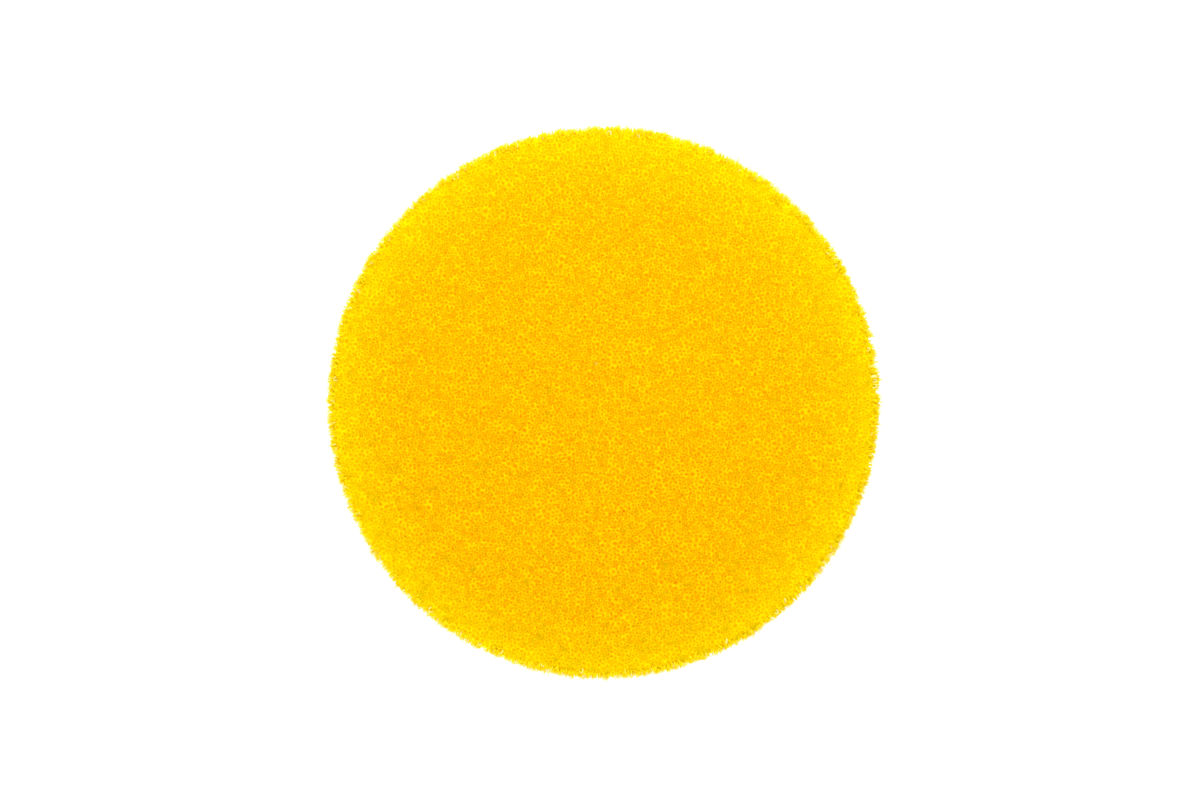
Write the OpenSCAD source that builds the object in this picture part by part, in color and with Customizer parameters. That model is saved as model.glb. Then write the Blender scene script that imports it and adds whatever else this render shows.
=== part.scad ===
// Round foam brush for dabbing and stippling paint. A die-cut foam cylinder is bonded to a turned
// wooden disc, and the disc is screwed and glued to a turned handle with a metal ferrule.
// The brush stands on the flat butt of its handle with the painting face up.
// Origin: the centre of the butt's flat face. +Z runs up the handle to the painting face.

/* [Foam head] */
// Diameter of the foam
foam_d = 50; // [40:1:60]
// Thickness of the foam
foam_h = 25; // [15:1:40]
// Rounding of the foam's two cut edges
foam_edge_r = 0.8; // [0.2:0.1:2]
// Thickness of the adhesive film between the foam and the disc
adhesive_t = 0.3; // [0.2:0.1:0.5]
// How far the adhesive film stops short of the disc's edge
adhesive_inset = 0.6; // [0.2:0.1:1.5]

/* [Backing disc] */
// How far the foam stands out past the disc all round
disc_inset = 2; // [1:0.5:4]
// Thickness of the disc's rim
rim_t = 4; // [3:0.5:6]
// Rounding of the rim's two corners
rim_r = 1; // [0.4:0.1:1.4]
// Height of the curved underside, from the ferrule up to the rim
dish_h = 6; // [5:0.5:9]
// Diameter of the hub that sits on the ferrule
hub_d = 22; // [21:0.5:26]

/* [Handle] */
// Length of the handle from the butt to the disc
handle_l = 82; // [76:1:110]
// Diameter of the butt at its widest
butt_d = 26; // [22:0.5:30]
// Diameter of the flat face that the brush stands on
butt_flat_d = 22; // [18:0.5:22]
// Height of the widest place above the flat face
butt_h = 10; // [8:0.5:14]
// Diameter of the waist that the fingers hold
waist_d = 14.6; // [12:0.2:17]
// Height of the waist above the flat face
waist_z = 42; // [36:1:42]
// Diameter of the hole that the brush hangs by
hanging_hole_d = 5; // [4:0.5:6]
// Depth of the eased mouths of the hanging hole
hole_ease = 0.6; // [0.5:0.1:1]
// Depth of the decorative grooves turned below the ferrule
groove_depth = 0.5; // [0.2:0.1:0.8]
// Number of grooves
groove_count = 2; // [1:1:3]

/* [Ferrule] */
// Outside diameter of the ferrule
ferrule_d = 19.2; // [18:0.2:20]
// Length of the ferrule
ferrule_l = 16; // [12:0.5:20]
// Thickness of the ferrule's wall
ferrule_t = 0.4; // [0.3:0.05:0.6]
// Radius of the beads rolled into the ferrule
bead_r = 0.9; // [0.7:0.1:1.2]
// Diameter of the pins that hold the ferrule
pin_d = 1.2; // [1:0.1:1.6]
// Length of the pins below their heads
pin_l = 6; // [4:0.5:7]

/* [Screw] */
// Diameter over the screw's thread
screw_d = 4; // [3.5:0.5:4.5]
// Length of the screw over all
screw_l = 30; // [25:1:35]
// Diameter of the screw's head
screw_head_d = 8; // [7.5:0.5:9]
// Distance from one turn of the thread to the next
thread_pitch = 1.8; // [1.4:0.1:2.2]

/* [Hidden] */
$fn = 96;

// Heights above the butt
ferrule_z = handle_l - ferrule_l;
rim_z = handle_l + dish_h;
disc_top_z = rim_z + rim_t;
foam_z = disc_top_z + adhesive_t;
hole_z = butt_h;
pin_z = ferrule_z + ferrule_l / 2;
bead_inset = 3;

// Diameters that follow from others
disc_d = foam_d - 2 * disc_inset;
adhesive_d = disc_d - 2 * adhesive_inset;

// The handle's spigot in the disc's socket, and its seat in the ferrule
spigot_d = 12;
spigot_l = 4;
spigot_end_gap = 0.2;
glue_gap = 0.05;
socket_depth = spigot_l + spigot_end_gap;
seat_d = ferrule_d - 2 * ferrule_t - 2 * glue_gap;

// Screw
screw_sink = 0.4;
screw_rim_t = 0.4;
core_share = 0.68;
screw_core_d = core_share * screw_d;
screw_clearance = 0.1;
screw_point_l = 4;
screw_point_d = 0.2;
screw_top_z = disc_top_z - screw_sink;
screw_tip_z = screw_top_z - screw_l;
thread_z = screw_tip_z + screw_point_l;
shank_in_handle = 2;
shank_end_z = handle_l - shank_in_handle;
thread_root_t = 0.9;
thread_crest_t = 0.15;
recess_w = 1.1;
recess_share = 0.52;
recess_span = recess_share * screw_head_d;
recess_depth = 2;

// Pins
pin_head_d = 2 * pin_d;
pin_head_h = pin_d / 2;

// Grooves
groove_slope = 1.2;
groove_reach = 2;
groove_pitch = 2.6;
groove_inset = 3;

outline_steps = 24;
tiny = 0.01;

// A smooth run from a to b as t goes from 0 to 1, level at both ends
function ease(a, b, t) = a + (b - a) * (1 - cos(180 * t)) / 2;

// Outline points [radius, height] of a smooth run between two radii and two heights
function eased_run(r0, z0, r1, z1) =
    [for (i = [1:outline_steps]) let (t = i / outline_steps) [ease(r0, r1, t), z0 + (z1 - z0) * t]];

// Outline points of the quarter ellipse from the flat butt face up to its widest place
function butt_curve() =
    [for (i = [0:outline_steps])
        let (a = 90 * i / outline_steps)
        [(butt_flat_d + (butt_d - butt_flat_d) * sin(a)) / 2, butt_h * (1 - cos(a))]];

// Outline of the handle from the middle of the butt to the middle of the spigot's end
function handle_outline() = concat(
    [[0, 0]],
    butt_curve(),
    eased_run(butt_d / 2, butt_h, waist_d / 2, waist_z),
    eased_run(waist_d / 2, waist_z, ferrule_d / 2, ferrule_z),
    [[seat_d / 2, ferrule_z], [seat_d / 2, handle_l]],
    [[spigot_d / 2, handle_l], [spigot_d / 2, handle_l + spigot_l], [0, handle_l + spigot_l]]
);

// Radius of the handle between its waist and the ferrule
function swell_r(z) = ease(waist_d, ferrule_d, (z - waist_z) / (ferrule_z - waist_z)) / 2;

// A half section of width r and height h with both outer corners rounded
module rounded_section(r, h, corner_r) {
    square([r - corner_r, h]);
    translate([0, corner_r]) square([r, h - 2 * corner_r]);
    for (z = [corner_r, h - corner_r]) translate([r - corner_r, z]) circle(corner_r);
}

module round_bar(d, z0, z1) {
    translate([0, 0, z0]) cylinder(d = d, h = z1 - z0);
}

// What is taken out of the wood for the screw's head and its clearance hole
module screw_clearance_hole() {
    head_r = screw_head_d / 2 + screw_clearance;
    hole_r = screw_d / 2 + screw_clearance;
    cone_z = screw_top_z - screw_rim_t;
    round_bar(2 * hole_r, handle_l - tiny, disc_top_z);
    translate([0, 0, cone_z - (head_r - hole_r)]) cylinder(r1 = hole_r, r2 = head_r, h = head_r - hole_r);
    round_bar(2 * head_r, cone_z, disc_top_z + tiny);
}

// One pin's shank, along +Y from inside the handle to just under the pin's head
module pin_shank() {
    translate([0, ferrule_d / 2 - pin_l, pin_z]) rotate([-90, 0, 0]) cylinder(d = pin_d, h = pin_l);
}

// A pin's domed head, resting on the ferrule
module pin_head() {
    dome_r = (pow(pin_head_d / 2, 2) + pow(pin_head_h, 2)) / (2 * pin_head_h);
    difference() {
        translate([0, ferrule_d / 2 + pin_head_h - dome_r, pin_z]) intersection() {
            sphere(dome_r);
            rotate([-90, 0, 0]) cylinder(d = pin_head_d, h = dome_r);
        }
        round_bar(ferrule_d, ferrule_z, handle_l);
    }
}

// The same thing at the front and the back
module front_and_back() {
    for (side = [0, 180]) rotate([0, 0, side]) children();
}

module foam_head() {
    color("gold")
        translate([0, 0, foam_z])
            rotate_extrude() rounded_section(foam_d / 2, foam_h, foam_edge_r);
}

module foam_adhesive() {
    color("linen") round_bar(adhesive_d, disc_top_z, foam_z);
}

module backing_disc() {
    dish_outline = concat([[0, 0], [hub_d / 2, 0]], eased_run(hub_d / 2, 0, disc_d / 2 - rim_r, dish_h));
    color("burlywood") difference() {
        translate([0, 0, handle_l]) rotate_extrude() {
            polygon(concat(dish_outline, [[0, dish_h]]));
            translate([0, dish_h]) rounded_section(disc_d / 2, rim_t, rim_r);
        }
        round_bar(spigot_d + 2 * glue_gap, handle_l - tiny, handle_l + socket_depth);
        screw_clearance_hole();
    }
}

// The screw's core and point, from the tip up to the plain shank
module screw_core() {
    translate([0, 0, screw_tip_z]) cylinder(d1 = screw_point_d, d2 = screw_core_d, h = screw_point_l);
    round_bar(screw_core_d, thread_z, shank_end_z);
}

// One turn of the thread, as a ring
module thread_ring() {
    core_r = screw_core_d / 2;
    crest_z = (thread_root_t - thread_crest_t) / 2;
    crest = [[screw_d / 2, crest_z], [screw_d / 2, crest_z + thread_crest_t]];
    top = [[core_r, thread_root_t], [0, thread_root_t]];
    rotate_extrude() polygon(concat([[0, 0], [core_r, 0]], crest, top));
}

module fixing_screw() {
    turns = floor((shank_end_z - thread_z) / thread_pitch);
    cone_h = (screw_head_d - screw_d) / 2;
    rim_low_z = screw_top_z - screw_rim_t;
    color("silver") difference() {
        union() {
            round_bar(screw_head_d, rim_low_z, screw_top_z);
            translate([0, 0, rim_low_z - cone_h]) cylinder(d1 = screw_d, d2 = screw_head_d, h = cone_h);
            round_bar(screw_d, shank_end_z, rim_low_z);
            screw_core();
            for (i = [0:turns - 1]) translate([0, 0, thread_z + i * thread_pitch]) thread_ring();
        }
        for (turn = [0, 90])
            rotate([0, 0, turn])
                translate([-recess_span / 2, -recess_w / 2, screw_top_z - recess_depth])
                    cube([recess_span, recess_w, recess_depth + tiny]);
    }
}

// A V-shaped ring cut into the swell at height z
module groove(z) {
    floor_r = swell_r(z) - groove_depth;
    half_w = groove_slope * groove_reach;
    translate([0, 0, z])
        rotate_extrude()
            polygon([[floor_r, 0], [floor_r + groove_reach, -half_w], [floor_r + groove_reach, half_w]]);
}

module handle() {
    mouth_r = hanging_hole_d / 2 + 2 * hole_ease;
    color("burlywood") difference() {
        rotate_extrude() polygon(handle_outline());
        // Hanging hole, drilled through the butt, with eased mouths
        translate([0, -butt_d / 2, hole_z]) rotate([-90, 0, 0]) cylinder(d = hanging_hole_d, h = butt_d);
        front_and_back()
            translate([0, butt_d / 2 - hole_ease, hole_z])
                rotate([-90, 0, 0]) cylinder(r1 = hanging_hole_d / 2, r2 = mouth_r, h = 2 * hole_ease);
        // Grooves turned into the swell below the ferrule
        for (i = [0:groove_count - 1]) groove(ferrule_z - groove_inset - i * groove_pitch);
        // Pilot holes for the screw and the ferrule's pins
        screw_core();
        round_bar(screw_d, shank_end_z, handle_l + spigot_l + tiny);
        front_and_back() pin_shank();
    }
}

module ferrule() {
    inner_r = ferrule_d / 2 - ferrule_t;
    color("goldenrod") difference() {
        rotate_extrude() difference() {
            union() {
                translate([inner_r, ferrule_z]) square([ferrule_t, ferrule_l]);
                for (z = [ferrule_z + bead_inset, handle_l - bead_inset])
                    translate([ferrule_d / 2 - bead_r / 2, z]) circle(bead_r);
            }
            translate([0, ferrule_z - tiny]) square([inner_r, ferrule_l + 2 * tiny]);
            for (z = [ferrule_z + bead_inset, handle_l - bead_inset])
                translate([ferrule_d / 2 - bead_r / 2, z]) circle(bead_r - ferrule_t);
        }
        front_and_back() pin_shank();
    }
}

module ferrule_pins() {
    color("goldenrod") front_and_back() {
        pin_shank();
        pin_head();
    }
}

foam_head();
foam_adhesive();
backing_disc();
fixing_screw();
handle();
ferrule();
ferrule_pins();
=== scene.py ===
"""Looks of the round foam brush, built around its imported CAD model.

The brush stands on the butt of its handle with its painting face up, and the camera looks straight
down at that face. Every length is in metres unless its name ends in _mm, and every place comes from
the CAD nodes' boxes.
"""

import math

import bmesh
import bpy
import numpy as np
from mathutils import Matrix, Vector
from mathutils.geometry import delaunay_2d_cdt


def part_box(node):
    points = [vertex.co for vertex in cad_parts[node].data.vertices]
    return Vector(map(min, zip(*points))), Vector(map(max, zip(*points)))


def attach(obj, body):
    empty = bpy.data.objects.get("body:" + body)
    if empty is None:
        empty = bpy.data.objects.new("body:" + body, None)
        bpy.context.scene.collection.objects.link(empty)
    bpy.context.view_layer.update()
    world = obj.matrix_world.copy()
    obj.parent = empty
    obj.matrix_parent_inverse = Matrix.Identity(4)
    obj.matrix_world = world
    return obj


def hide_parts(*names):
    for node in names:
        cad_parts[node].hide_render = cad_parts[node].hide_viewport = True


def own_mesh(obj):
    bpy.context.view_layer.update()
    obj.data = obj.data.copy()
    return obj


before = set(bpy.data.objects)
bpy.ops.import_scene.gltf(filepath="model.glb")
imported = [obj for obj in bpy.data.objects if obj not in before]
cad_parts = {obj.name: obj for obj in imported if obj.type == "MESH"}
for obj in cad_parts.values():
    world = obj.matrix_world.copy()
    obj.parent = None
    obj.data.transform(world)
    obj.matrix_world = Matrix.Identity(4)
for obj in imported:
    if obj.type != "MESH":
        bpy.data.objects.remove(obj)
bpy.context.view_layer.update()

MM = 0.001
BRUSH = "brush"
SEED = 41

# Where the pieces are
FOAM_LOW, FOAM_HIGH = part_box("foam_head")
FOAM_R = (FOAM_HIGH.x - FOAM_LOW.x) / 2
FOAM_TOP = FOAM_HIGH.z
FOAM_BASE = FOAM_LOW.z

DISC_LOW, DISC_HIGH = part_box("backing_disc")
DISC_R = (DISC_HIGH.x - DISC_LOW.x) / 2
HANDLE_LOW, HANDLE_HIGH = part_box("handle")
BUTT_R = (HANDLE_HIGH.x - HANDLE_LOW.x) / 2
FERRULE_LOW, FERRULE_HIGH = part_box("ferrule")
SCREW_LOW, SCREW_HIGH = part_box("fixing_screw")
SCREW_HEAD_R = (SCREW_HIGH.x - SCREW_LOW.x) / 2
PINS_LOW, PINS_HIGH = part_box("ferrule_pins")
PIN_Z = (PINS_LOW.z + PINS_HIGH.z) / 2
FILM_LOW, FILM_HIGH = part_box("foam_adhesive")
FILM_R = (FILM_HIGH.x - FILM_LOW.x) / 2

# The turned pieces, and how many flat sides their circles have
SEGMENTS, DISC_SEGMENTS, FILM_SEGMENTS, SCREW_SEGMENTS = 128, 160, 240, 64
HANG_SEGMENTS, HOLE_SEGMENTS, PIN_SEGMENTS = 48, 24, 32
BUTT_FLAT_R, BUTT_Z = 11 * MM, 10 * MM
WAIST_R, WAIST_Z = 7.3 * MM, 42 * MM
FERRULE_R, FERRULE_T = 9.6 * MM, 0.4 * MM
BEAD_R, BEAD_INSET = 0.9 * MM, 3 * MM
SEAT_R = FERRULE_R - FERRULE_T - 0.05 * MM
SPIGOT_R, SOCKET_R, SOCKET_Z = 6 * MM, 6.05 * MM, DISC_LOW.z + 4.2 * MM
GROOVES_Z = (FERRULE_LOW.z - 3 * MM, FERRULE_LOW.z - 5.6 * MM)
GROOVE_DEPTH, GROOVE_HALF_W = 0.5 * MM, 0.75 * MM
HUB_R, RIM_T, RIM_R = 11 * MM, 4 * MM, 1 * MM
HANG_R, HANG_EASE = 2.5 * MM, 0.9 * MM
SPIGOT_BEVEL, FERRULE_SOFT = 0.3 * MM, 0.12 * MM

# The screw and the pins
THREAD_R, CORE_R, PITCH = 2 * MM, 1.36 * MM, 1.8 * MM
SHANK_Z = DISC_LOW.z - 2 * MM
POINT_L, HEAD_T = 4 * MM, 0.4 * MM
RECESS_W, RECESS_SPAN, RECESS_DEPTH = 1.1 * MM, 4.16 * MM, 2 * MM
RECESS_TAPER, RIDGE_SHARE, STEPS_PER_TURN = 0.45, 0.22, 14
SCREW_GAP, PIN_SINK = 0.1 * MM, 0.02 * MM
PIN_R, PIN_HEAD_R, PIN_HEAD_H = 0.6 * MM, 1.2 * MM, 0.6 * MM
PIN_END = FERRULE_R - 6 * MM

# The adhesive squeezed out past the disc
BEAD_WAVE, BEAD_BULGE, FILM_GAP = 0.12 * MM, 0.06 * MM, 0.02 * MM

# The foam's outline, as the die left it: flat face, rounded edge, slightly waisted wall
SKIN_R = FOAM_R - 0.18 * MM
EDGE_R, WAIST = 0.5 * MM, 0.15 * MM
FLAT_R, EDGE_ARC = SKIN_R - EDGE_R, EDGE_R * math.pi / 2
WALL = FOAM_TOP - FOAM_BASE - 2 * EDGE_R
RIM_S, LOW_RIM_S = FLAT_R + EDGE_ARC / 2, FLAT_R + 1.5 * EDGE_ARC + WALL

# The foam's cells: their pitches, and how their middles are spread
CELL, WALL_CELL, HIDDEN_CELL = 0.30 * MM, 0.47 * MM, 2.2 * MM
HIDDEN_R = FOAM_R - 4.2 * MM
RIM_JITTER = 0.2
ROUNDS, PULL, SEAM_REACH = 14, 0.8, 3 * MM

# The pits and struts of the foam's skin, with painted shade in the pits, painted light toward the edges and
# on torn struts, and a few painted glint specks
PIT_DEPTH, PIT_SPREAD = 0.2 * MM, (0.55, 1.3)
STRUT_LIFT, JOINT_SPREAD = 0.03 * MM, (0.6, 1.4)
TORN_SHARE, TORN_LENGTH, TORN_LEAN = 0.06, (0.05 * MM, 0.2 * MM), 0.25
PIT_SHADE, STRUT_SHADE = (0.75, 1.05), (-0.3, 0.75)
LIGHT_REACH, TORN_LIGHT = 2.8 * MM, 0.8
RIM_SHADE, EDGE_CALM = 0.42, 0.75
# The share of strut ends given a painted glint speck
GLINT_SPECK_SHARE = 0.00004

# The cut struts that stand out of it: how wide and how bent they are, then for each kind how many there
# are, their mean length, its spread, and the share of them that glint
STRUT_W, STRUT_W_SPREAD, ROOT_DEPTH = 0.062 * MM, (0.6, 1.3), 0.06 * MM
ARCH_SPAN, ARCH_SWAY = (0.16 * MM, 0.42 * MM), 0.1 * MM
SPIKE_LEAN, SPIKE_BEND, SPIKE_LEAST = 0.6, 0.25, 0.1 * MM
FRINGE_FADE = 0.8 * MM
FRINGE_ARCHES = (4600, 0.3 * MM, 0.1 * MM, 0.04)
FRINGE_SPIKES = (2200, 0.45 * MM, 0.15 * MM, 0.04)
WALL_ARCHES = (1800, 0.22 * MM, 0.1 * MM, 0.03)
WALL_SPIKES = (2600, 0.3 * MM, 0.12 * MM, 0.03)

# The map layer named for baking, with the foam's face, underside and unrolled wall laid out on it,
# and a spot for each of the struts' two colours
BAKE_MAP = "OFBake"
FACE_SPOT, FACE_SPOT_R = (0.335, 0.335), 0.33
UNDER_SPOT, UNDER_SPOT_R = (0.84, 0.15), 0.14
WALL_STRIP = (0.02, 0.98, 0.70, 0.98)
PLAIN_SPOT, GLINT_SPOT, STRUT_SPOT_W = (0.25, 0.25), (0.75, 0.75), 0.01

# The camera, and the light of the dome from its horizon up
FRAME_W = 109.1 * MM
OFF_CENTRE = (0.34 * MM, -0.23 * MM)
LENS, SENSOR = 200.0, 36.0
HORIZON, ZENITH, DOME_TOP = 0.82, 1.05, 0.9
BACKDROP, FLOOR_GLOW, FLOOR_HALF = 1.05, 0.18, 1.5


# ---------------------------------------------------------------- nodes and materials


class Shader:
    """A material with one Principled shader, and short calls that add and link nodes."""

    def __init__(self, name, **sockets):
        self.material = bpy.data.materials.new(name)
        self.material.use_nodes = True
        self.tree = self.material.node_tree
        self.principled = self.tree.nodes["Principled BSDF"]
        for socket, value in sockets.items():
            self.principled.inputs[socket.replace("_", " ")].default_value = value

    def node(self, kind, inputs=None, **settings):
        made = self.tree.nodes.new("ShaderNode" + kind)
        for key, value in settings.items():
            setattr(made, key, value)
        for socket, value in (inputs or {}).items():
            self.put(value, made.inputs[socket])
        return made

    def put(self, value, socket):
        if isinstance(value, bpy.types.NodeSocket):
            self.tree.links.new(value, socket)
        else:
            socket.default_value = value

    def coordinates(self):
        return self.node("TexCoord").outputs["Object"]

    def attribute(self, name):
        return self.node("Attribute", attribute_name=name).outputs["Fac"]

    def math(self, operation, a, b=0.0):
        return self.node("Math", {0: a, 1: b}, operation=operation).outputs[0]

    def span(self, value, low, high, to_low=0.0, to_high=1.0):
        inputs = {"Value": value, "From Min": low, "From Max": high, "To Min": to_low, "To Max": to_high}
        return self.node("MapRange", inputs, interpolation_type="SMOOTHSTEP").outputs["Result"]

    def mix(self, factor, a, b, blend_type="MIX"):
        made = self.node("Mix", data_type="RGBA", blend_type=blend_type)
        self.put(factor, made.inputs["Factor"])
        self.put(a, made.inputs[6])
        self.put(b, made.inputs[7])
        return made.outputs[2]

    def noise(self, vector, scale, detail=3.0, roughness=0.55):
        inputs = {"Vector": vector, "Scale": scale, "Detail": detail, "Roughness": roughness}
        return self.node("TexNoise", inputs).outputs["Fac"]

    def out(self, socket, value):
        self.put(value, self.principled.inputs[socket])

    def bump(self, height, distance, strength=1.0, normal=None):
        inputs = {"Height": height, "Distance": distance, "Strength": strength}
        if normal is not None:
            inputs["Normal"] = normal
        return self.node("Bump", inputs).outputs["Normal"]


def foam_material():
    """Yellow open-cell foam, its shade and light painted in: painted shade makes the pits amber, painted
    light makes the struts and cut edges lemon, with a few painted glint specks.
    """
    amber, lemon = (0.90, 0.30, 0.0006, 1), (0.92, 0.645, 0.0006, 1)
    painted_edge_light, glint_speck_colour = (1.0, 1.36, 1.0, 1), (0.9, 0.84, 0.25, 1)
    s = Shader("foam", Roughness=0.95, Specular_IOR_Level=0.0)
    # Painted shade: cell_shade mixes the struts' lemon toward amber down in each pit
    cells = s.mix(s.attribute("cell_shade"), lemon, amber)
    grain = s.span(s.noise(s.coordinates(), scale=5200.0, detail=1.0), 0.3, 0.7)
    cells = s.mix(s.math("MULTIPLY", grain, 0.3), cells, amber)
    # Painted light: the colour grows paler toward the cut edges and on torn struts, where light shines
    # through the foam
    lit = s.mix(s.attribute("edge_light"), cells, painted_edge_light, "MULTIPLY")
    # Painted glints: a few pale specks on strut ends
    s.out("Base Color", s.mix(s.attribute("glint_speck"), lit, glint_speck_colour))
    s.out("Subsurface Weight", 1.0)
    s.out("Subsurface Scale", 0.8 * MM)
    s.out("Subsurface Radius", (1.0, 0.8, 0.2))
    return s.material


def strut_material():
    """A cut strut is so thin that light passes through it, so it is the palest part of the foam."""
    plain, glint = (1.0, 0.80, 0.002, 1), (1.0, 0.95, 0.45, 1)
    s = Shader("foam_strut", Roughness=0.8, Specular_IOR_Level=0.1)
    s.out("Base Color", s.mix(s.attribute("glint"), plain, glint))
    return s.material


def wood_material(name, along, pith, band_zs=()):
    """Lacquered beech: growth rings about a pith off to one side, fine pores and short dark ray flecks.
    along turns the grain, which runs along local Z, to the way it lies in the piece. band_zs are the
    heights of scorched grooves."""
    s = Shader(name, Roughness=0.45, Coat_Weight=0.35, Coat_Roughness=0.22)
    light, warm, late_wood = (0.51, 0.295, 0.13, 1), (0.58, 0.355, 0.175, 1), (0.33, 0.165, 0.065, 1)
    pore, ray, burnt = (0.40, 0.22, 0.10, 1), (0.30, 0.145, 0.06, 1), (0.085, 0.038, 0.016, 1)
    inputs = {"Vector": s.coordinates(), "Rotation": along, "Scale": (1 / MM, 1 / MM, 1 / MM)}
    mm = s.node("Mapping", inputs, vector_type="POINT").outputs[0]

    def stretched(across, lengthwise, detail):
        scaled = s.node("Mapping", {"Vector": mm, "Scale": (across, across, lengthwise)}).outputs[0]
        return s.noise(scaled, 1.0, detail)

    part = s.node("SeparateXYZ", {0: mm}).outputs
    dx, dy = s.math("SUBTRACT", part[0], pith[0]), s.math("SUBTRACT", part[1], pith[1])
    squares = s.math("ADD", s.math("MULTIPLY", dx, dx), s.math("MULTIPLY", dy, dy))
    wander = s.math("MULTIPLY", stretched(across=0.05, lengthwise=0.012, detail=3.0), 9.0)
    rings_per_mm = 0.42
    from_pith = s.math("ADD", s.math("SQRT", squares), wander)
    late = s.math("POWER", s.math("FRACT", s.math("MULTIPLY", from_pith, rings_per_mm)), 3.0)
    colour = s.mix(stretched(across=0.1, lengthwise=0.02, detail=2.0), light, warm)
    colour = s.mix(s.math("MULTIPLY", late, 0.55), colour, late_wood)
    fibre = s.span(stretched(across=7.0, lengthwise=0.22, detail=3.0), 0.35, 0.7)
    colour = s.mix(s.math("MULTIPLY", fibre, 0.22), colour, pore)
    fleck = s.span(stretched(across=3.2, lengthwise=0.55, detail=1.0), 0.66, 0.72)
    colour = s.mix(s.math("MULTIPLY", fleck, 0.6), colour, ray)
    for z in band_zs:
        near = s.math("ABSOLUTE", s.math("SUBTRACT", part[2], z / MM))
        scorch = s.span(s.math("ADD", near, s.math("MULTIPLY", fibre, 0.12)), 0.35, 0.8, 0.85, 0.0)
        colour = s.mix(scorch, colour, burnt)
    s.out("Base Color", colour)
    s.out("Roughness", s.span(stretched(across=0.6, lengthwise=0.25, detail=4.0), 0.2, 0.8, 0.36, 0.56))
    pores = s.bump(stretched(across=9.0, lengthwise=0.5, detail=2.0), 0.012 * MM, 0.5)
    lathe_marks = s.node("Mapping", {"Vector": mm, "Scale": (0.15, 0.15, 9.0)}).outputs[0]
    s.out("Normal", s.bump(s.noise(lathe_marks, 1.0, 2.0), 0.004 * MM, 0.4, pores))
    return s.material


def brass_material():
    """Spun brass: fine lines around it, with a little brown tarnish beside the beads."""
    bright, dull, tarnish = (0.68, 0.43, 0.13, 1), (0.50, 0.30, 0.09, 1), (0.22, 0.125, 0.05, 1)
    s = Shader("brass", Metallic=1.0, Roughness=0.28)
    inputs = {"Vector": s.coordinates(), "Scale": (400, 400, 22000)}
    lines = s.noise(s.node("Mapping", inputs).outputs[0], 1.0, 2.0)
    blotch = s.span(s.noise(s.coordinates(), 260.0, 4.0, 0.6), 0.42, 0.75)
    colour = s.mix(blotch, bright, dull)
    height = s.node("SeparateXYZ", {0: s.coordinates()}).outputs[2]
    for bead in (FERRULE_LOW.z + BEAD_INSET, FERRULE_HIGH.z - BEAD_INSET):
        from_middle = s.math("ABSOLUTE", s.math("SUBTRACT", height, bead))
        from_foot = s.math("ABSOLUTE", s.math("SUBTRACT", from_middle, BEAD_R))
        colour = s.mix(s.span(from_foot, 0.1 * MM, 0.5 * MM, 0.6, 0.0), colour, tarnish)
    s.out("Base Color", colour)
    worn = s.math("MULTIPLY", blotch, 0.12)
    s.out("Roughness", s.math("ADD", s.span(lines, 0.3, 0.7, 0.2, 0.36), worn))
    s.out("Normal", s.bump(lines, 0.004 * MM, 0.35))
    return s.material


def steel_material():
    """Bright zinc over steel, a little cloudy."""
    blue_grey, white_grey = (0.56, 0.57, 0.60, 1), (0.72, 0.72, 0.70, 1)
    s = Shader("zinc", Metallic=1.0, Roughness=0.32)
    cloud = s.noise(s.coordinates(), 900.0, 4.0, 0.6)
    s.out("Base Color", s.mix(cloud, blue_grey, white_grey))
    s.out("Roughness", s.span(cloud, 0.3, 0.7, 0.24, 0.42))
    return s.material


def adhesive_material():
    """Contact adhesive, dried to a cloudy amber."""
    amber, cream = (0.60, 0.42, 0.17, 1), (0.78, 0.64, 0.36, 1)
    s = Shader("adhesive", Roughness=0.35)
    cloud = s.noise(s.coordinates(), 700.0, 4.0, 0.6)
    s.out("Base Color", s.mix(cloud, amber, cream))
    s.out("Normal", s.bump(cloud, 0.05 * MM, 0.5))
    return s.material


# ---------------------------------------------------------------- foam


def cut_profile(s):
    """Radius, height and outward normal at each arc length along the foam's outline, from its face's
    centre."""
    s = np.asarray(s, float)
    r, z = s.copy(), np.full_like(s, FOAM_TOP)
    nr, nz = np.zeros_like(s), np.ones_like(s)
    top = (s > FLAT_R) & (s <= FLAT_R + EDGE_ARC)
    a = (s[top] - FLAT_R) / EDGE_R
    r[top], z[top] = FLAT_R + EDGE_R * np.sin(a), FOAM_TOP - EDGE_R * (1 - np.cos(a))
    nr[top], nz[top] = np.sin(a), np.cos(a)
    side = (s > FLAT_R + EDGE_ARC) & (s <= FLAT_R + EDGE_ARC + WALL)
    t = (s[side] - FLAT_R - EDGE_ARC) / WALL
    r[side] = SKIN_R - WAIST * np.sin(math.pi * t)
    z[side] = FOAM_TOP - EDGE_R - WALL * t
    nr[side], nz[side] = 1, 0
    low = (s > FLAT_R + EDGE_ARC + WALL) & (s <= FLAT_R + 2 * EDGE_ARC + WALL)
    a = (s[low] - FLAT_R - EDGE_ARC - WALL) / EDGE_R
    r[low], z[low] = FLAT_R + EDGE_R * np.cos(a), FOAM_BASE + EDGE_R * (1 - np.sin(a))
    nr[low], nz[low] = np.cos(a), -np.sin(a)
    under = s > FLAT_R + 2 * EDGE_ARC + WALL
    r[under] = np.maximum(2 * FLAT_R + 2 * EDGE_ARC + WALL - s[under], 0)
    z[under] = FOAM_BASE
    nr[under], nz[under] = 0, -1
    return r, z, nr, nz


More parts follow.
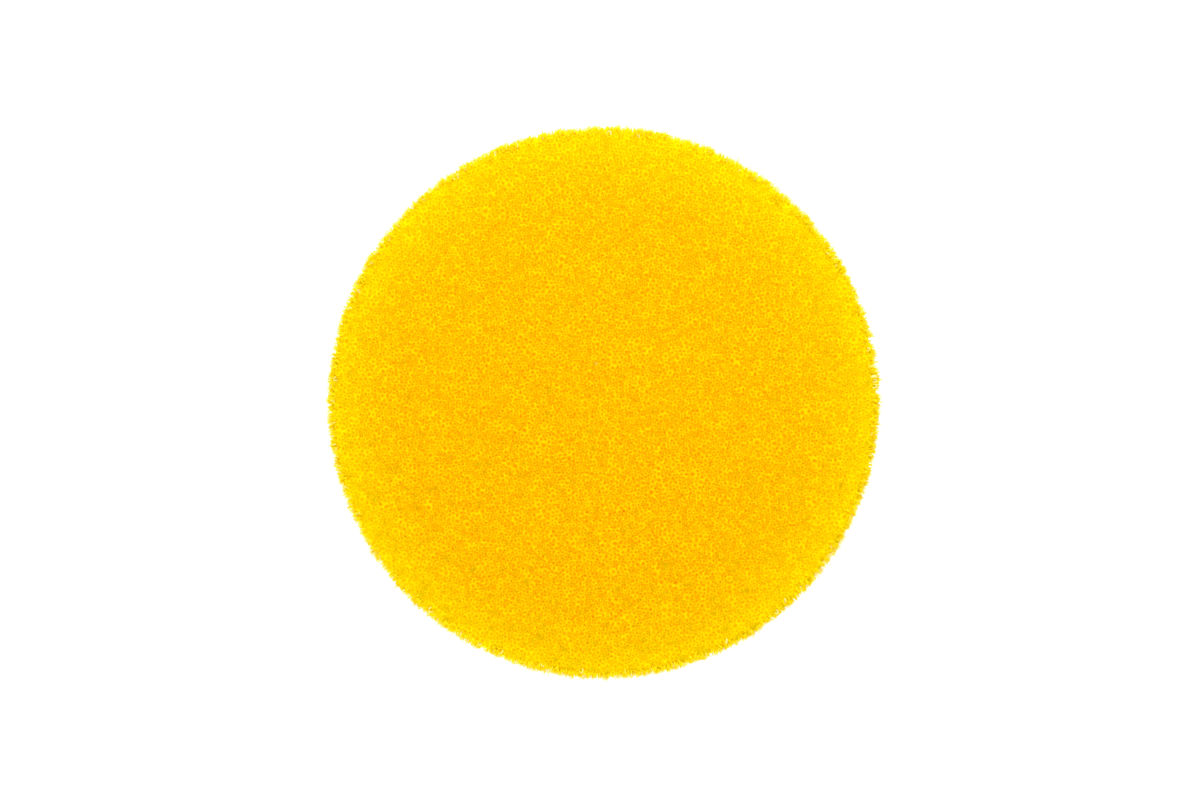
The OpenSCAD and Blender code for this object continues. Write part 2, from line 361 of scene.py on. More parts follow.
def outline_length(r, z):
    """Arc length at the place on the foam's outline nearest to each point, the inverse of cut_profile."""
    high, low = FOAM_TOP - EDGE_R, FOAM_BASE + EDGE_R
    top_turn = np.arctan2(r - FLAT_R, z - high)
    low_turn = np.arctan2(low - z, r - FLAT_R)
    top_arc = FLAT_R + EDGE_R * top_turn
    low_arc = FLAT_R + EDGE_ARC + WALL + EDGE_R * low_turn
    side = np.select([z > high, z < low], [top_arc, low_arc], FLAT_R + EDGE_ARC + (high - z))
    flat = np.where(z > (high + low) / 2, r, RIM_S + LOW_RIM_S - r)
    return np.where(r > FLAT_R, side, flat)


def triangles_of(points):
    """Delaunay triangles of points in a plane."""
    found = delaunay_2d_cdt([Vector(p) for p in points / MM], [], [], 0, 1e-6, True)
    order = np.array([group[0] for group in found[3]])
    return order[np.array(found[2])]


def wrapped_triangles(points, around):
    """Triangles of points that repeat along x, with copies of those near either end. Returns all the
    points, and which point each is or copies."""
    full, owner = points, np.arange(len(points))
    if around:
        left = points[:, 0] < SEAM_REACH
        right = points[:, 0] > around - SEAM_REACH
        full = np.vstack([points, points[left] + (around, 0), points[right] - (around, 0)])
        owner = np.concatenate([owner, owner[left], owner[right]])
    return triangles_of(full), full, owner


def relaxed(points, fixed, around=0.0):
    """Moves the points after the first fixed ones towards the middle of their neighbours.
    Where around is a length, the points repeat after it along x."""
    n = len(points)
    for _ in range(ROUNDS):
        tris, full, _owner = wrapped_triangles(points, around)
        here = tris[:, [0, 1, 2, 1, 2, 0]].ravel()
        there = tris[:, [1, 2, 0, 0, 1, 2]].ravel()
        count = np.bincount(here, minlength=len(full))
        total = [np.bincount(here, full[there, axis], len(full)) for axis in (0, 1)]
        mean = np.column_stack(total) / np.maximum(count, 1)[:, None]
        points[fixed:] += PULL * (mean[:n] - points)[fixed:]
        if around:
            points[fixed:, 0] %= around
    return points


def cell_count(area, pitch):
    return int(area / (pitch * pitch * math.sqrt(3) / 2))


def polar(r, a):
    return np.column_stack([r * np.cos(a), r * np.sin(a)])


def rim_cells(count, rng):
    """Cell centres along a rim: their angles, and their places where the rim is laid flat."""
    angle = (np.arange(count) + rng.uniform(-RIM_JITTER, RIM_JITTER, count)) * 2 * math.pi / count
    return angle, polar(RIM_S, angle)


def scattered(inner, outer, count, rng):
    """Random points, evenly spread between two radii."""
    r = np.sqrt(rng.uniform(inner**2, outer**2, count))
    return polar(r, rng.uniform(0, 2 * math.pi, count))


def disc_cells(rim, inner, pitch, rng):
    """Cell centres inside a rim or, where inner isn't 0, between it and inner, with a few in the middle."""
    count = cell_count(math.pi * ((RIM_S - pitch / 2) ** 2 - inner**2), pitch)
    sets = [rim, scattered(inner, RIM_S - 0.6 * pitch, count, rng)]
    if inner:
        count = cell_count(math.pi * inner**2, HIDDEN_CELL)
        sets.append(scattered(0, inner - HIDDEN_CELL / 2, count, rng))
    points = relaxed(np.vstack(sets), len(rim))
    return points, triangles_of(points)


def wall_cells(angle, low_angle, rng):
    """Cell centres on the wall as (distance around, distance down), after those of its two rims, and
    its triangles."""
    around, high, margin = 2 * math.pi * SKIN_R, LOW_RIM_S - RIM_S, 0.6 * WALL_CELL
    rims = [
        np.column_stack([(a % (2 * math.pi)) * SKIN_R, np.full(len(a), down)])
        for a, down in ((angle, 0.0), (low_angle, high))
    ]
    count = cell_count(around * high, WALL_CELL)
    free = np.column_stack([rng.uniform(0, around, count), rng.uniform(margin, high - margin, count)])
    side = relaxed(np.vstack([*rims, free]), 2 * len(angle), around)
    tris, full, owner = wrapped_triangles(side, around)
    middle = full[tris][:, :, 0].mean(1)
    return side, owner[tris[(middle >= 0) & (middle < around)]]


def foam_cells(rng):
    """Cell centres all over the foam as (arc length along the outline, angle), and closed triangles."""
    count = int(2 * math.pi * SKIN_R / (0.5 * (CELL + WALL_CELL)))
    angle, rim = rim_cells(count, rng)
    face, face_tris = disc_cells(rim, 0, CELL, rng)
    low_angle, low_rim = rim_cells(count, rng)
    under, under_tris = disc_cells(low_rim, HIDDEN_R, WALL_CELL, rng)
    side, side_tris = wall_cells(angle, low_angle, rng)

    free = side[2 * count:]
    s = np.concatenate([np.hypot(*face.T), RIM_S + free[:, 1], LOW_RIM_S + RIM_S - np.hypot(*under.T)])
    a = np.concatenate([
        np.arctan2(face[:, 1], face[:, 0]),
        free[:, 0] / SKIN_R,
        np.arctan2(under[:, 1], under[:, 0]),
    ])
    # The wall shares the rim's points with the face, and the lower rim's with the underside
    under_start = len(face) + len(free)
    side_index = np.concatenate([
        np.arange(count),
        under_start + np.arange(count),
        len(face) + np.arange(len(free)),
    ])
    under_tris = under_tris + under_start
    return s, a, np.vstack([face_tris, side_index[side_tris][:, ::-1], under_tris[:, ::-1]])


def foam_mesh(rng):
    """A closed skin of open cells: a pit at each cell's middle, struts where cells meet, a few torn.
    Returns its points, its triangles, how much painted shade and painted light each point gets, and the
    ends of the struts with the way each faces."""
    s, a, tris = foam_cells(rng)
    r, z, nr, nz = cut_profile(s)
    normal = np.column_stack([nr * np.cos(a), nr * np.sin(a), nz])
    on_skin = np.column_stack([r * np.cos(a), r * np.sin(a), z])
    weights = rng.uniform(*JOINT_SPREAD, (len(tris), 3, 1))
    joints = (on_skin[tris] * weights).sum(1) / weights.sum(1)
    facing = normal[tris].sum(1)
    facing /= np.linalg.norm(facing, axis=1)[:, None]

    depth = rng.uniform(*PIT_SPREAD, len(s)) * PIT_DEPTH
    pits = on_skin - normal * depth[:, None]
    lift = rng.normal(0, STRUT_LIFT, len(tris))
    on_wall = (facing[:, 2] < 0.9) & (facing[:, 2] > -0.8)
    torn = (rng.random(len(tris)) < TORN_SHARE) & on_wall
    lift[torn] = rng.uniform(*TORN_LENGTH, torn.sum()) * rng.random(torn.sum()) ** 0.5
    lean = rng.normal(0, TORN_LEAN, (len(tris), 3)) * np.where(torn, lift, 0)[:, None]
    lift = np.where(facing[:, 2] < -0.9, -np.abs(lift), lift)
    joints += facing * lift[:, None] + lean

    verts = np.vstack([pits, joints])
    # Painted shade: pits darker amber, struts lighter, torn struts lemon; near the rims the painted shade
    # eases and painted light grows
    shade = np.concatenate([rng.uniform(*PIT_SHADE, len(s)), rng.uniform(*STRUT_SHADE, len(tris))])
    shade[len(s):][torn] = 0
    light = np.exp(-edge_distance(verts) / LIGHT_REACH)
    shade = RIM_SHADE + (np.clip(shade, 0, 1) - RIM_SHADE) * (1 - EDGE_CALM * light)
    light[len(s):][torn] = np.maximum(light[len(s):][torn], TORN_LIGHT)
    return verts, skin_faces(tris, len(s)), np.clip(shade, 0, 1), light, joints, facing


def skin_faces(tris, n):
    """Each edge between two cells becomes two triangles, one down to each cell's pit."""
    ends = np.vstack([tris[:, [0, 1]], tris[:, [1, 2]], tris[:, [2, 0]]])
    face = np.tile(np.arange(len(tris)), 3)
    order = np.argsort(ends.min(1).astype(np.int64) * n + ends.max(1), kind="stable")
    first, second = order[0::2], order[1::2]
    left, right = face[first] + n, face[second] + n
    return np.vstack([
        np.column_stack([ends[first, 0], right, left]),
        np.column_stack([ends[first, 1], left, right]),
    ])


def edge_distance(verts):
    """How far each point of the foam's skin is from the nearer of its two rims."""
    r = np.hypot(verts[:, 0], verts[:, 1])
    inward = np.maximum(SKIN_R - r, 0)
    down = np.maximum(np.minimum(FOAM_TOP - verts[:, 2], verts[:, 2] - FOAM_BASE), 0)
    return np.hypot(inward, down)


def thin_rods(paths, widths, across):
    """Closed three-sided rods along paths, where across is a direction that each path mostly crosses."""
    count, rings = widths.shape
    run = np.gradient(paths, axis=1)
    run /= np.linalg.norm(run, axis=2, keepdims=True)
    side = across[:, None] - run * (run * across[:, None]).sum(2, keepdims=True)
    side /= np.linalg.norm(side, axis=2, keepdims=True)
    up = np.cross(run, side)
    turn = np.arange(3) * 2 * math.pi / 3
    spoke = side[:, :, None] * np.cos(turn)[:, None] + up[:, :, None] * np.sin(turn)[:, None]
    verts = (paths[:, :, None] + spoke * widths[:, :, None, None] / 2).reshape(-1, 3)
    last = 3 * (rings - 1)
    one = [(0, 2, 1), (last, last + 1, last + 2)]
    for low in range(0, last, 3):
        for k in range(3):
            m = (k + 1) % 3
            one += [(low + k, low + m, low + 3 + m), (low + k, low + 3 + m, low + 3 + k)]
    faces = np.array(one)[None] + 3 * rings * np.arange(count)[:, None, None]
    return verts, faces.reshape(-1, 3)


def tangents(rng, normals):
    t = np.cross(normals, rng.normal(size=normals.shape))
    t /= np.linalg.norm(t, axis=1)[:, None]
    return t, np.cross(normals, t)


def arches(rng, roots, normals, height, spread):
    """Cut cells left standing as loops: each goes up from its root, over, and back down beside it."""
    count = len(roots)
    t, b = tangents(rng, normals)
    high = np.abs(rng.normal(height, spread, count))[:, None] * normals
    across = rng.uniform(*ARCH_SPAN, count)[:, None] * t
    sway = rng.normal(0, ARCH_SWAY, count)[:, None] * b
    foot = -ROOT_DEPTH * normals
    skew = rng.uniform(0.2, 0.8, count)[:, None]
    paths = np.stack([
        roots + foot,
        roots + high * rng.uniform(0.7, 1.0, count)[:, None] + across * skew * 0.4 + sway,
        roots + high * rng.uniform(0.7, 1.0, count)[:, None] + across * (0.55 + 0.4 * skew) + sway,
        roots + foot + across,
    ], axis=1)
    widths = STRUT_W * rng.uniform(*STRUT_W_SPREAD, (count, 1)) * np.array([1.3, 0.8, 0.8, 1.3])
    return thin_rods(paths, widths, b)


def spikes(rng, roots, normals, height, spread):
    """Single struts cut through and left standing, each bent one way."""
    count = len(roots)
    t, b = tangents(rng, normals)
    high = np.clip(rng.normal(height, spread, count), SPIKE_LEAST, None)[:, None]
    lean = rng.uniform(0, SPIKE_LEAN, count)[:, None]
    bend = rng.normal(0, SPIKE_BEND, count)[:, None]
    paths = np.stack([
        roots - ROOT_DEPTH * normals,
        roots + high * (0.5 * normals + 0.4 * lean * t),
        roots + high * (normals + lean * t + bend * b),
    ], axis=1)
    widths = STRUT_W * rng.uniform(*STRUT_W_SPREAD, (count, 1)) * np.array([1.3, 0.9, 0.25])
    return thin_rods(paths, widths, b)


def cut_struts(rng, joints, normals):
    """The struts that stand out of the cut foam, closest together along the painting face's edge.
    Returns points, triangles and which points glint."""
    side = np.flatnonzero(np.abs(normals[:, 2]) < 0.85)
    near_top = np.exp((joints[side, 2] - FOAM_TOP) / FRINGE_FADE)
    fringe, anywhere = near_top / near_top.sum(), None
    verts, faces, glint, start = [], [], [], 0
    for make, chance, (count, height, spread, glints) in (
        (arches, fringe, FRINGE_ARCHES),
        (spikes, fringe, FRINGE_SPIKES),
        (arches, anywhere, WALL_ARCHES),
        (spikes, anywhere, WALL_SPIKES),
    ):
        pick = rng.choice(side, count, p=chance)
        aside = rng.uniform(-0.5, 0.5, (count, 3)) * WALL_CELL
        aside -= normals[pick] * (aside * normals[pick]).sum(1)[:, None]
        v, f = make(rng, joints[pick] + aside, normals[pick], height, spread)
        verts.append(v)
        faces.append(f + start)
        glint.append(np.repeat(rng.random(count) < glints, len(v) // count))
        start += len(v)
    return np.vstack(verts), np.vstack(faces), np.concatenate(glint)


def loop_corners(mesh):
    """The three points of each triangle, in the order of the mesh's loops."""
    found = np.empty(len(mesh.loops), np.int32)
    mesh.loops.foreach_get("vertex_index", found)
    return found.reshape(-1, 3)


def lay(mesh, places):
    """Gives each triangle's corners their places on the bake's map."""
    made = mesh.uv_layers.new(name=BAKE_MAP)
    made.data.foreach_set("uv", np.ascontiguousarray(places, np.float32).ravel())


def map_foam(mesh, verts):
    """Lays the foam out for baking: its face and underside as discs, and its wall as a strip.
    Each triangle goes where its pit is, and a pit's number is lower than a strut's."""
    corners = loop_corners(mesh)
    pit = corners.min(1)
    s = outline_length(np.hypot(verts[:, 0], verts[:, 1]), verts[:, 2])
    a = np.arctan2(verts[:, 1], verts[:, 0])[corners]

    def disc(spot, radius, from_centre):
        away = from_centre[corners] * radius / (RIM_S + WALL_CELL)
        return np.stack([spot[0] + away * np.cos(a), spot[1] + away * np.sin(a)], axis=2)

    at_pit = np.arctan2(verts[pit, 1], verts[pit, 0])[:, None]
    turn = at_pit + (a - at_pit + math.pi) % (2 * math.pi) - math.pi
    left, right, bottom, top = WALL_STRIP
    strip = np.stack([
        left + (right - left) * (turn / (2 * math.pi) + 0.5),
        bottom + (top - bottom) * (s[corners] - RIM_S) / (LOW_RIM_S - RIM_S),
    ], axis=2)
    slack, where = EDGE_R / 4, s[pit][:, None, None]
    face = disc(FACE_SPOT, FACE_SPOT_R, s)
    under = disc(UNDER_SPOT, UNDER_SPOT_R, RIM_S + LOW_RIM_S - s)
    lay(mesh, np.where(where < RIM_S + slack, face, np.where(where > LOW_RIM_S - slack, under, strip)))


def map_struts(mesh, glint):
    """Every strut has one of two colours, so each of its triangles lies at one of two small spots on the
    bake's map.
    """
    spots = np.where(glint[loop_corners(mesh)[:, :1]][:, :, None], GLINT_SPOT, PLAIN_SPOT)
    lay(mesh, spots + STRUT_SPOT_W * np.array([(0, 0), (1, 0), (0, 1)]))


def mesh_object(name, verts, faces, smooth=True):
    mesh = bpy.data.meshes.new(name)
    mesh.from_pydata([tuple(v) for v in verts], [], [tuple(int(i) for i in f) for f in faces])
    mesh.validate()
    mesh.update()
    if smooth:
        mesh.polygons.foreach_set("use_smooth", [True] * len(mesh.polygons))
    made = bpy.data.objects.new(name, mesh)
    bpy.context.scene.collection.objects.link(made)
    return made


def store(mesh, name, values):
    """Keeps a number at each point, for a material to read."""
    made = mesh.attributes.new(name, "FLOAT", "POINT")
    made.data.foreach_set("value", np.asarray(values, np.float32))


def as_foam(piece):
    """Attaches a foam piece to the brush, where it stays bonded, and gives it a mesh of its own."""
    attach(piece, BRUSH)
    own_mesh(piece)


def make_foam():
    rng = np.random.default_rng(SEED)
    verts, faces, shade, light, joints, facing = foam_mesh(rng)
    foam = mesh_object("foam_head_cells", verts, faces)
    # A few strut ends get a painted glint speck
    glint_speck = rng.random(len(verts)) < GLINT_SPECK_SHARE
    glint_speck[:len(verts) - len(joints)] = False
    for name, values in (("cell_shade", shade), ("edge_light", light), ("glint_speck", glint_speck)):
        store(foam.data, name, values)
    map_foam(foam.data, verts)
    foam.data.materials.append(foam_material())
    as_foam(foam)
    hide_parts("foam_head")

    verts, faces, glint = cut_struts(rng, joints, facing)
    struts = mesh_object("foam_cut_struts", verts, faces, smooth=False)
    store(struts.data, "glint", glint)
    map_struts(struts.data, glint)
    struts.data.materials.append(strut_material())
    as_foam(struts)


# ---------------------------------------------------------------- turned pieces


def eased(a, b, t):
    return a + (b - a) * (1 - math.cos(math.pi * t)) / 2


def eased_run(r0, z0, r1, z1, steps=32):
    """Points after the first of a smooth run between two radii, level at both ends."""
    return [(eased(r0, r1, i / steps), z0 + (z1 - z0) * i / steps) for i in range(1, steps + 1)]


def corner(r, z, radius, start, turn=90, steps=6):
    """Points of a rounded corner about a centre, from one angle in degrees round through another."""
    angles = [math.radians(start + turn * i / steps) for i in range(steps + 1)]
    return [(r + radius * math.cos(a), z + radius * math.sin(a)) for a in angles]


def skin_rings(bm, rings, around):
    """Faces between each ring of points and the next. A ring of one point is a tip."""
    for one, other in zip(rings, rings[1:]):
        for i in range(around):
            j = (i + 1) % around
            corners = (one[i % len(one)], one[j % len(one)], other[j % len(other)], other[i % len(other)])
            bm.faces.new(dict.fromkeys(corners))


def turned(name, outline, segments=SEGMENTS):
    """A solid of revolution about Z. An outline that starts and ends on the axis is closed by it, and any
    other outline closes on itself."""
    bm = bmesh.new()
    angles = [2 * math.pi * i / segments for i in range(segments)]
    rings = []
    for r, z in outline:
        places = [(r * math.cos(a), r * math.sin(a), z) for a in angles] if r > 0 else [(0, 0, z)]
        rings.append([bm.verts.new(place) for place in places])
    if outline[0][0] > 0:
        rings.append(rings[0])
    skin_rings(bm, rings, segments)
    return finished(name, bm)


def finished(name, bm):
    """Makes an object of a bmesh, with its faces turned outwards."""
    bmesh.ops.recalc_face_normals(bm, faces=bm.faces)
    mesh = bpy.data.meshes.new(name)
    bm.to_mesh(mesh)
    bm.free()
    made = bpy.data.objects.new(name, mesh)
    bpy.context.scene.collection.objects.link(made)
    smooth(made)
    return made


def smooth(piece):
    """Shades a piece smooth, with its edges kept sharp."""
    piece.data.polygons.foreach_set("use_smooth", [True] * len(piece.data.polygons))
    piece.data.set_sharp_from_angle(angle=math.radians(35))


def laid_along_y(piece, z):
    """Turns a piece made about Z so that its axis lies along Y at height z."""
    piece.data.transform(Matrix.Translation((0, 0, z)) @ Matrix.Rotation(-math.pi / 2, 4, "X"))
    return piece


def carve(piece, cutter):
    """Cuts one closed solid out of another, and clears the slivers that leaves."""
    cut = piece.modifiers.new("cut", "BOOLEAN")
    cut.operation, cut.solver, cut.object = "DIFFERENCE", "EXACT", cutter
    shape = piece.evaluated_get(bpy.context.evaluated_depsgraph_get())
    carved = bpy.data.meshes.new_from_object(shape)
    bm = bmesh.new()
    bm.from_mesh(carved)
    bmesh.ops.dissolve_degenerate(bm, edges=bm.edges, dist=1e-4 * MM)
    bm.to_mesh(carved)
    bm.free()
    piece.modifiers.clear()
    piece.data = carved
    bpy.data.objects.remove(cutter)
    smooth(piece)


def on_brush(piece, material, node):
    """Gives a piece of the brush its material and attaches it to the brush; it stands for one CAD node,
    which is hidden.
    """
    piece.data.materials.clear()
    piece.data.materials.append(material)
    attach(piece, BRUSH)
    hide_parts(node)


def swell_with_grooves():
    """The handle from its waist up to the ferrule, with the grooves turned into it."""
    points = []
    for r, z in eased_run(WAIST_R, WAIST_Z, FERRULE_R, FERRULE_LOW.z, steps=180):
        away = min(abs(z - middle) for middle in GROOVES_Z) / GROOVE_HALF_W
        points.append((r - GROOVE_DEPTH * (1 + math.cos(math.pi * min(away, 1))) / 2, z))
    return points


def handle_outline():
    """The handle from the middle of its butt, up its outside, and back down inside the screw's hole."""
    quarter = [math.pi / 2 * i / 24 for i in range(25)]
    butt = [
        (BUTT_FLAT_R + (BUTT_R - BUTT_FLAT_R) * math.sin(a), BUTT_Z * (1 - math.cos(a))) for a in quarter
    ]
    spigot_end = HANDLE_HIGH.z
    return [(0, 0), *butt, *eased_run(BUTT_R, BUTT_Z, WAIST_R, WAIST_Z, 48), *swell_with_grooves()] + [
        (SEAT_R, FERRULE_LOW.z), (SEAT_R, DISC_LOW.z), (SPIGOT_R, DISC_LOW.z),
        (SPIGOT_R, spigot_end - SPIGOT_BEVEL), (SPIGOT_R - SPIGOT_BEVEL, spigot_end),
        (THREAD_R, spigot_end), (THREAD_R, SHANK_Z),
        (CORE_R, SHANK_Z), (CORE_R, SCREW_LOW.z + POINT_L), (0, SCREW_LOW.z),
    ]


def hanging_hole():
    """What is bored through the butt, with both of its mouths rounded."""
    reach = BUTT_R + HANG_EASE
    mouth = corner(HANG_R + HANG_EASE, BUTT_R - HANG_EASE, HANG_EASE, 180, -90)
    far = [(r, -y) for r, y in reversed(mouth)]
    wide = mouth[-1][0]
    outline = [(0, -reach), (wide, -reach), *far, *mouth, (wide, reach), (0, reach)]
    return laid_along_y(turned("hole", outline, HANG_SEGMENTS), BUTT_Z)


def make_handle():
    handle = turned("handle_turned", handle_outline())
    carve(handle, hanging_hole())
    for side in (-1, 1):
        inner, outer = side * PIN_END, side * BUTT_R
        shank = [(0, inner), (PIN_R, inner), (PIN_R, outer), (0, outer)]
        carve(handle, laid_along_y(turned("hole", shank, HOLE_SEGMENTS), PIN_Z))
    wood = wood_material("handle_beech", (0, 0, 0), (34, 11), GROOVES_Z)
    on_brush(handle, wood, "handle")


def make_disc():
    low, high = DISC_LOW.z, DISC_HIGH.z
    rim_z = high - RIM_T
    clear_r, head_r = THREAD_R + SCREW_GAP, SCREW_HEAD_R + SCREW_GAP
    cone_z = SCREW_HIGH.z - HEAD_T
    outline = [
        (SOCKET_R, low), (SOCKET_R, SOCKET_Z),
        (clear_r, SOCKET_Z), (clear_r, cone_z - (head_r - clear_r)), (head_r, cone_z), (head_r, high),
    ]
    outline += corner(DISC_R - RIM_R, high - RIM_R, RIM_R, 90, -90)
    outline += corner(DISC_R - RIM_R, rim_z + RIM_R, RIM_R, 0, -90)
    outline += [(r, z) for r, z in reversed(eased_run(HUB_R, low, DISC_R - RIM_R, rim_z, 40)[:-1])]
    outline += [(HUB_R, low)]
    disc = turned("backing_disc_turned", outline, DISC_SEGMENTS)
    wood = wood_material("disc_beech", (0, math.pi / 2, 0.3), (-60, 46))
    on_brush(disc, wood, "backing_disc")


def beaded(base_r, bead_r):
    """One face of the ferrule's wall from the bottom up, bulging at its two beads."""
    middle_r = FERRULE_R - BEAD_R / 2
    open_angle = math.degrees(math.acos((base_r - middle_r) / bead_r))
    points = []
    for z in (FERRULE_LOW.z + BEAD_INSET, FERRULE_HIGH.z - BEAD_INSET):
        points += corner(middle_r, z, bead_r, -open_angle, 2 * open_angle, 14)
    return points


def make_ferrule():
    """Thin spun tube with two hollow beads and softened ends, drilled for its pins."""
    low, high = FERRULE_LOW.z, FERRULE_HIGH.z
    inner_r, soft_r = FERRULE_R - FERRULE_T, FERRULE_R - FERRULE_SOFT
    outside = [
        (soft_r, low), (FERRULE_R, low + FERRULE_SOFT),
        *beaded(FERRULE_R, BEAD_R),
        (FERRULE_R, high - FERRULE_SOFT), (soft_r, high),
    ]
    inside = [(inner_r, low), *beaded(inner_r, BEAD_R - FERRULE_T), (inner_r, high)]
    ferrule = turned("ferrule_spun", outside + inside[::-1])
    reach = 2 * FERRULE_R
    drill = [(0, -reach), (PIN_R, -reach), (PIN_R, reach), (0, reach)]
    carve(ferrule, laid_along_y(turned("hole", drill, HOLE_SEGMENTS), PIN_Z))
    on_brush(ferrule, brass_material(), "ferrule")


def make_pins():
    """Two domed pins, front and back, in one piece as the CAD has them."""
    dome_r = (PIN_HEAD_R**2 + PIN_HEAD_H**2) / (2 * PIN_HEAD_H)
    seat = FERRULE_R - PIN_SINK
    top = FERRULE_R + PIN_HEAD_H
    half = math.degrees(math.asin(PIN_HEAD_R / dome_r))
    dome = corner(0, top - dome_r, dome_r, 90 - half, half, 8)[:-1]
    outline = [(0, PIN_END), (PIN_R, PIN_END), (PIN_R, seat), (PIN_HEAD_R, seat)] + dome + [(0, top)]
    bm = bmesh.new()
    for side in (1, -1):
        pin = laid_along_y(turned("pin", [(r, side * y) for r, y in outline], PIN_SEGMENTS), PIN_Z)
        bm.from_mesh(pin.data)
        bpy.data.objects.remove(pin)
    pins = finished("ferrule_pins_domed", bm)
    on_brush(pins, brass_material(), "ferrule_pins")


def screw_radius(z, turn):
    """Radius of the screw at a height and a share of a full turn."""
    head_z = SCREW_HIGH.z - HEAD_T
    cone = SCREW_HEAD_R - (head_z - z)
    if z > SHANK_Z:
        return min(max(THREAD_R, cone), SCREW_HEAD_R)
    taper = min((z - SCREW_LOW.z) / POINT_L, 1)
    run_out = min((SHANK_Z - z) / PITCH, 1)
    phase = ((z - SCREW_LOW.z) / PITCH - turn) % 1
    ridge = max(0, 1 - abs(phase - 0.5) / RIDGE_SHARE)
    return taper * (CORE_R + (THREAD_R - CORE_R) * ridge * run_out)


def recess_arm(turn):
    """One arm of the cross recess, narrower towards its foot."""
    bm = bmesh.new()
    bmesh.ops.create_cube(bm, size=1)
    for v in bm.verts:
        share = 1.0 if v.co.z > 0 else RECESS_TAPER
        v.co.x *= RECESS_SPAN * share
        v.co.y *= RECESS_W * share
        v.co.z = SCREW_HIGH.z + v.co.z * 2 * RECESS_DEPTH
    bmesh.ops.rotate(bm, verts=bm.verts, matrix=Matrix.Rotation(turn, 3, "Z"))
    return finished("recess", bm)


def make_screw():
    """A countersunk screw with a true helical thread and a cross recess."""
    around, step = SCREW_SEGMENTS, PITCH / STEPS_PER_TURN
    low, high = SCREW_LOW.z, SCREW_HIGH.z
    threaded = [low + step * (i + 1) for i in range(int((SHANK_Z - low) / step) - 1)]
    cone_foot = high - HEAD_T - (SCREW_HEAD_R - THREAD_R)
    plain = [SHANK_Z, SHANK_Z + 0.05 * MM, cone_foot, high - HEAD_T, high]
    bm = bmesh.new()
    rings = [[bm.verts.new((0, 0, low))]]
    for z in sorted(threaded + plain):
        turns = [i / around for i in range(around)]
        radii = [screw_radius(z, turn) for turn in turns]
        angles = [2 * math.pi * turn for turn in turns]
        places = [(r * math.cos(a), r * math.sin(a), z) for r, a in zip(radii, angles)]
        rings.append([bm.verts.new(place) for place in places])
    rings.append([bm.verts.new((0, 0, high))])
    skin_rings(bm, rings, around)
    screw = finished("fixing_screw_threaded", bm)
    for turn in (0, math.pi / 2):
        carve(screw, recess_arm(turn))
    on_brush(screw, steel_material(), "fixing_screw")


def film_edge(r):
    """The film's outline at one angle, where its bead reaches out to radius r over the disc's rim."""
    low, high, flat_r = FILM_LOW.z, FILM_HIGH.z, DISC_R - RIM_R
    points = [(flat_r, low)]
    for share in (0.5, 1.0):
        at = flat_r + (r - flat_r) * share
        drop = RIM_R - math.sqrt(RIM_R**2 - (at - flat_r) ** 2)
        points.append((at, low - max(drop - FILM_GAP, 0)))
    return points + [(r + BEAD_BULGE, (points[-1][1] + high) / 2), (r, high), (flat_r, high)]


def make_adhesive():
    """Thin film with an uneven edge, and a bead squeezed out over the disc's rounded rim."""
    rng = np.random.default_rng(SEED + 1)
    angles = np.linspace(0, 2 * math.pi, FILM_SEGMENTS, endpoint=False)
    waves = range(2, 26)
    wave = sum(rng.normal(0, 1 / k) * np.cos(k * angles + rng.uniform(0, 2 * math.pi)) for k in waves)
    reach = FILM_R + BEAD_WAVE * wave / np.abs(wave).max()
    bm = bmesh.new()
    columns = [
        [bm.verts.new((x * math.cos(a), x * math.sin(a), z)) for x, z in film_edge(r)]
        for a, r in zip(angles, reach)
    ]
    middle_low, middle_high = bm.verts.new((0, 0, FILM_LOW.z)), bm.verts.new((0, 0, FILM_HIGH.z))
    for one, other in zip(columns, columns[1:] + columns[:1]):
        bm.faces.new((middle_low, one[0], other[0]))
        bm.faces.new((middle_high, one[-1], other[-1]))
        for k in range(len(one) - 1):
            bm.faces.new((one[k], other[k], other[k + 1], one[k + 1]))
    film = finished("foam_adhesive_film", bm)
    on_brush(film, adhesive_material(), "foam_adhesive")


# ---------------------------------------------------------------- camera, light and floor


def make_camera():
    """Looks straight down, from where a long lens sees the frame's width at the painting face."""
    data = bpy.data.cameras.new("camera")
    data.lens, data.sensor_width = LENS, SENSOR
    camera = bpy.data.objects.new("camera", data)
    bpy.context.scene.collection.objects.link(camera)
    away = FRAME_W * LENS / SENSOR
    camera.location = (-OFF_CENTRE[0], -OFF_CENTRE[1], FOAM_TOP + away)
    bpy.context.scene.camera = camera


def area_light(name, place, target, size, power):
    """A round soft lamp that lights the object and isn't seen itself."""
    data = bpy.data.lights.new(name, "AREA")
    data.shape, data.size, data.energy = "DISK", size, power
    lamp = bpy.data.objects.new(name, data)
    bpy.context.scene.collection.objects.link(lamp)
    lamp.location = place
    lamp.rotation_euler = (Vector(target) - Vector(place)).to_track_quat("-Z", "Y").to_euler()
    lamp.visible_camera = False


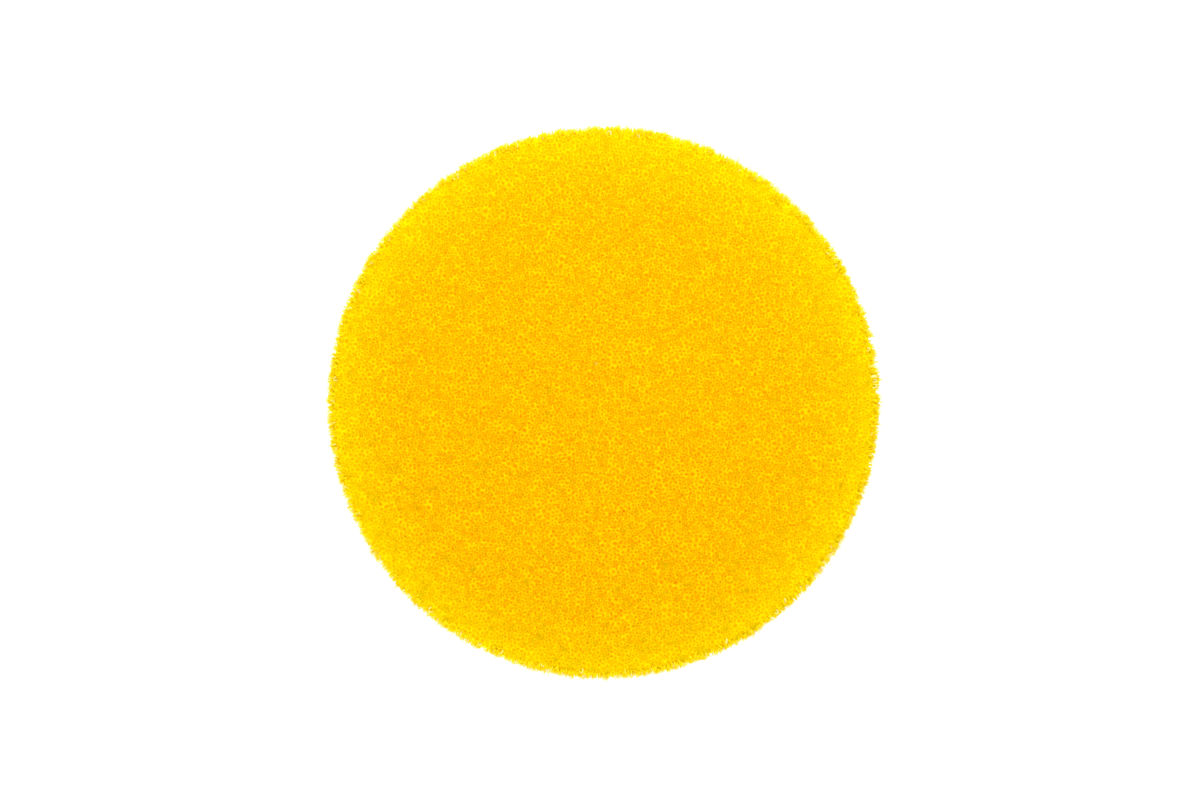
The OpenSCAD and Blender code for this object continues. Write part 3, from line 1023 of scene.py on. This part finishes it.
def make_world():
    """White behind the object, and a dome of soft light that is brightest overhead."""
    world = bpy.data.worlds.new("studio")
    bpy.context.scene.world = world
    world.use_nodes = True
    tree = world.node_tree
    sky = tree.nodes["Background"]
    sky.inputs["Color"].default_value = (1, 1, 1, 1)

    def node(kind, **settings):
        made = tree.nodes.new("ShaderNode" + kind)
        for key, value in settings.items():
            setattr(made, key, value)
        return made

    way = node("SeparateXYZ")
    tree.links.new(node("TexCoord").outputs["Generated"], way.inputs[0])
    dome = node("MapRange")
    dome_levels = {"From Min": 0.0, "From Max": DOME_TOP, "To Min": HORIZON, "To Max": ZENITH}
    for socket, value in dome_levels.items():
        dome.inputs[socket].default_value = value
    tree.links.new(way.outputs["Z"], dome.inputs["Value"])
    pick = node("Mix", data_type="FLOAT")
    tree.links.new(node("LightPath").outputs["Is Camera Ray"], pick.inputs[0])
    tree.links.new(dome.outputs["Result"], pick.inputs[2])
    pick.inputs[3].default_value = BACKDROP
    tree.links.new(pick.outputs[0], sky.inputs["Strength"])


def make_floor():
    h = FLOOR_HALF
    floor = mesh_object("floor", [(-h, -h, 0), (h, -h, 0), (h, h, 0), (-h, h, 0)], [(0, 1, 2, 3)], False)
    s = Shader("paper", Roughness=0.9, Specular_IOR_Level=0.0)
    grain = s.noise(s.coordinates(), 900.0)
    s.out("Base Color", s.mix(grain, (0.94, 0.94, 0.94, 1), (0.97, 0.97, 0.97, 1)))
    s.out("Emission Color", (1, 1, 1, 1))
    s.out("Emission Strength", FLOOR_GLOW)
    floor.data.materials.append(s.material)


def make_studio():
    make_world()
    make_floor()
    face, middle = (0, 0, FOAM_TOP), (0, 0, FOAM_TOP / 2)
    area_light("key", (0.03, 0.17, FOAM_TOP + 0.13), face, size=0.12, power=0.3)
    area_light("fill", (-0.40, -0.35, FOAM_TOP + 0.15), middle, size=0.35, power=1.0)
    bpy.context.scene.view_settings.view_transform = "Standard"


# ---------------------------------------------------------------- the whole brush

make_camera()
make_studio()
make_foam()
make_adhesive()
make_disc()
make_handle()
make_ferrule()
make_pins()
make_screw()
